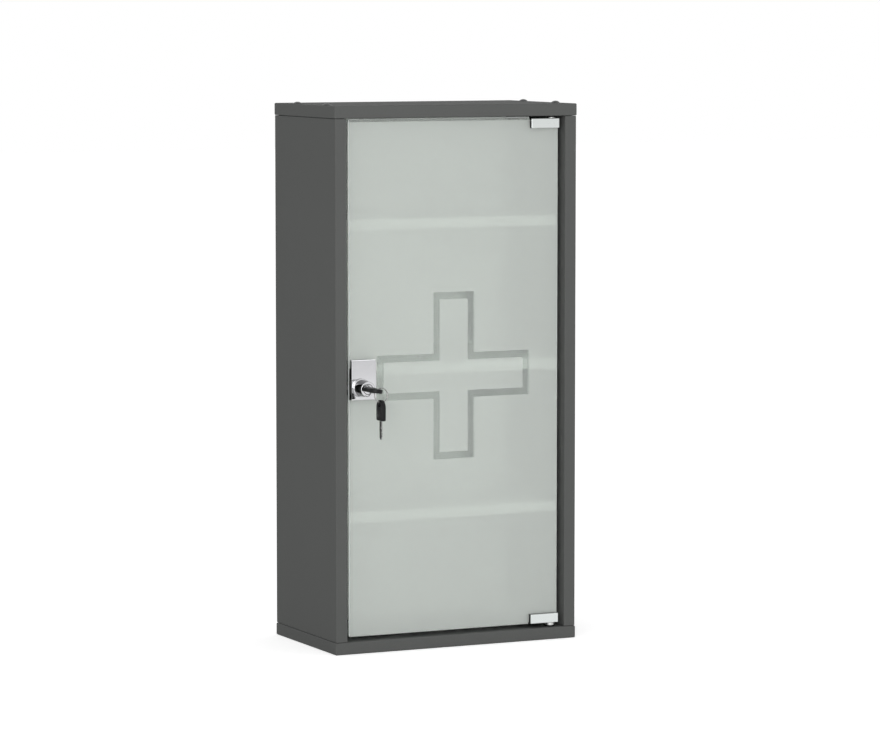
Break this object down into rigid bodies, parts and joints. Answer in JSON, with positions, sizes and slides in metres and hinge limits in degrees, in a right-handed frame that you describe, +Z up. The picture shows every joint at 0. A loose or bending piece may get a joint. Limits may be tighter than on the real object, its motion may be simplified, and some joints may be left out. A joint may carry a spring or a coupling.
{
  "type": "wall medicine cabinet",
  "caption": "Narrow wall cabinet of dark boards with a frosted glass door on clamp hinges, pale shelves, a turning cam lock, a key in it and a spare key on a ring.",
  "frame": {"origin": "centre of the bottom panel's underside", "axes": "+Z up, the door faces -Y, its hinges are at +X"},
  "size_m": [0.295, 0.2138, 0.6023],
  "materials": {
    "case_board": "matt dark grey laminate on board",
    "back_board": "thin white-faced hardboard",
    "shelf_board": "satin white laminate on board",
    "frosted_glass": "frosted",
    "chrome": "polished",
    "steel": "zinc plated",
    "dark_steel": "dark grey paint on steel",
    "black_plastic": "matt black",
    "clear_rubber": "clear soft"
  },
  "bodies": {
    "case": {"back_panel": "back_board", "bottom_panel": "case_board", "bottom_screw_left_front": "steel", "bottom_screw_left_rear": "steel", "bottom_screw_right_front": "steel", "bottom_screw_right_rear": "steel", "door_bumper": "clear_rubber", "hanger_screw_left_lower": "steel", "hanger_screw_left_upper": "steel", "hanger_screw_right_lower": "steel", "hanger_screw_right_upper": "steel", "lock_strike": "steel", "pivot_bush_bottom": "black_plastic", "pivot_bush_top": "black_plastic", "shelf_lower": "shelf_board", "shelf_middle": "shelf_board", "shelf_pin_lower_left_front": "steel", "shelf_pin_lower_left_rear": "steel", "shelf_pin_lower_right_front": "steel", "shelf_pin_lower_right_rear": "steel", "shelf_pin_middle_left_front": "steel", "shelf_pin_middle_left_rear": "steel", "shelf_pin_middle_right_front": "steel", "shelf_pin_middle_right_rear": "steel", "shelf_pin_upper_left_front": "steel", "shelf_pin_upper_left_rear": "steel", "shelf_pin_upper_right_front": "steel", "shelf_pin_upper_right_rear": "steel", "shelf_upper": "shelf_board", "side_panel_left": "case_board", "side_panel_right": "case_board", "strike_screw": "steel", "top_panel": "case_board", "top_screw_left_front": "dark_steel", "top_screw_left_rear": "dark_steel", "top_screw_right_front": "dark_steel", "top_screw_right_rear": "dark_steel", "wall_hanger_left": "steel", "wall_hanger_right": "steel"},
    "door": {"door_glass": "frosted_glass", "hinge_clamp_bottom": "black_plastic", "hinge_clamp_top": "black_plastic", "hinge_cover_bottom": "chrome", "hinge_cover_top": "chrome", "hinge_pin_bottom": "chrome", "hinge_pin_top": "chrome", "hinge_set_screw_bottom": "steel", "hinge_set_screw_top": "steel", "lock_plate": "chrome", "lock_gasket": "black_plastic", "lock_barrel": "chrome", "lock_nut": "steel"},
    "plug": {"lock_plug": "chrome", "lock_cam": "steel", "cam_screw": "steel"},
    "key": {"key_blade": "steel", "key_bow": "black_plastic"},
    "ring": {"key_ring": "steel"},
    "spare": {"spare_key_blade": "steel", "spare_key_bow": "black_plastic"}
  },
  "joints": [
    {"name": "door_swing", "type": "hinge", "parent": "case", "child": "door", "pos_m": [0.12, -0.073, 0.3], "axis": [0, 0, 1], "range_deg": [0, 110]},
    {"name": "lock_turn", "type": "hinge", "parent": "door", "child": "plug", "pos_m": [-0.1163, -0.0824, 0.293], "axis": [0, 1, 0], "range_deg": [-8, 82]},
    {"name": "key_pull", "type": "slide", "parent": "plug", "child": "key", "axis": [0, -1, 0], "range_m": [0, 0.0165]},
    {"name": "ring_swing", "type": "hinge", "parent": "key", "child": "ring", "pos_m": [-0.11093, -0.1225, 0.29224], "axis": [0, 1, 0], "range_deg": [-82, 8]},
    {"name": "spare_swing", "type": "hinge", "parent": "ring", "child": "spare", "pos_m": [-0.11093, -0.1225, 0.28075], "axis": [1, 0, 0], "range_deg": [-60, 45]}
  ],
  "couplings": [
    {"joint": "ring_swing", "follows": "lock_turn", "ratio": -1}
  ]
}
